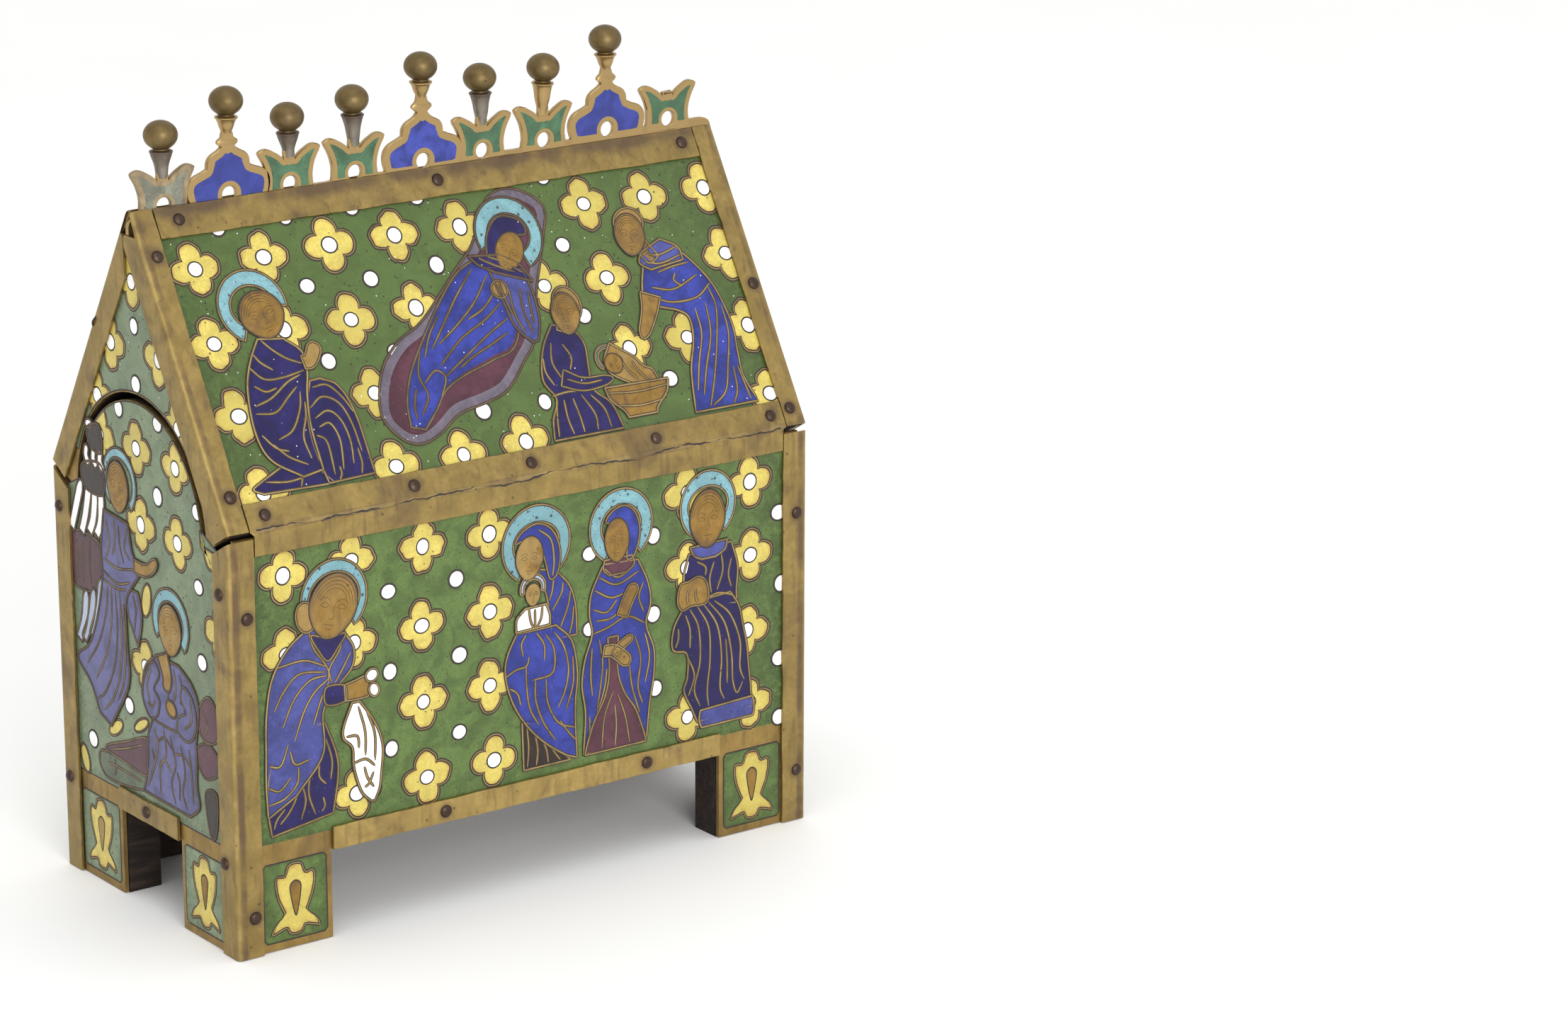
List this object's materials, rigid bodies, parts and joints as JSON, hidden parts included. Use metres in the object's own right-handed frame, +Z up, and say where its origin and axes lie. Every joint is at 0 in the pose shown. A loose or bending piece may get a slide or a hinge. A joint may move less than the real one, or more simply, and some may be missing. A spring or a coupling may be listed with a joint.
{
  "type": "reliquary casket",
  "caption": "House-shaped reliquary casket: enamelled metal plates and nailed brass straps over a wooden box on feet, with a lift-off gabled lid, pierced crest and turned knobs.",
  "frame": {"origin": "centre of the casket's box at the soles of the feet, on the surface it stands on", "axes": "+X along the ridge to the right as seen from the front, -Y to the front, +Z up"},
  "size_m": [0.192, 0.096, 0.2296],
  "materials": {
    "carcass_wood": "dark, worn, unpolished",
    "enamel_plate": "glossy inlaid enamel on metal",
    "brass_strap": "aged, patinated brass",
    "crest_gilt": "worn gilt with enamelled cells",
    "knob_bronze": "rubbed bronze, soft shine"
  },
  "bodies": {
    "root": {"body_carcass": "carcass_wood", "lid_carcass": "carcass_wood", "front_plate": "enamel_plate", "back_plate": "enamel_plate", "left_end_plate": "enamel_plate", "right_end_plate": "enamel_plate", "front_roof_plate": "enamel_plate", "back_roof_plate": "enamel_plate", "left_gable_plate": "enamel_plate", "right_gable_plate": "enamel_plate", "front_left_corner_strap": "brass_strap", "front_right_corner_strap": "brass_strap", "back_left_corner_strap": "brass_strap", "back_right_corner_strap": "brass_strap", "front_left_rake_strap": "brass_strap", "front_right_rake_strap": "brass_strap", "back_left_rake_strap": "brass_strap", "back_right_rake_strap": "brass_strap", "front_bottom_strap": "brass_strap", "back_bottom_strap": "brass_strap", "left_bottom_strap": "brass_strap", "right_bottom_strap": "brass_strap", "front_ridge_strap": "brass_strap", "back_ridge_strap": "brass_strap", "front_eave_strap": "brass_strap", "back_eave_strap": "brass_strap", "crest": "crest_gilt", "knob_1": "knob_bronze", "knob_2": "knob_bronze", "knob_3": "knob_bronze", "knob_4": "knob_bronze", "knob_5": "knob_bronze", "knob_6": "knob_bronze", "knob_7": "knob_bronze", "knob_8": "knob_bronze"}
  },
  "joints": []
}
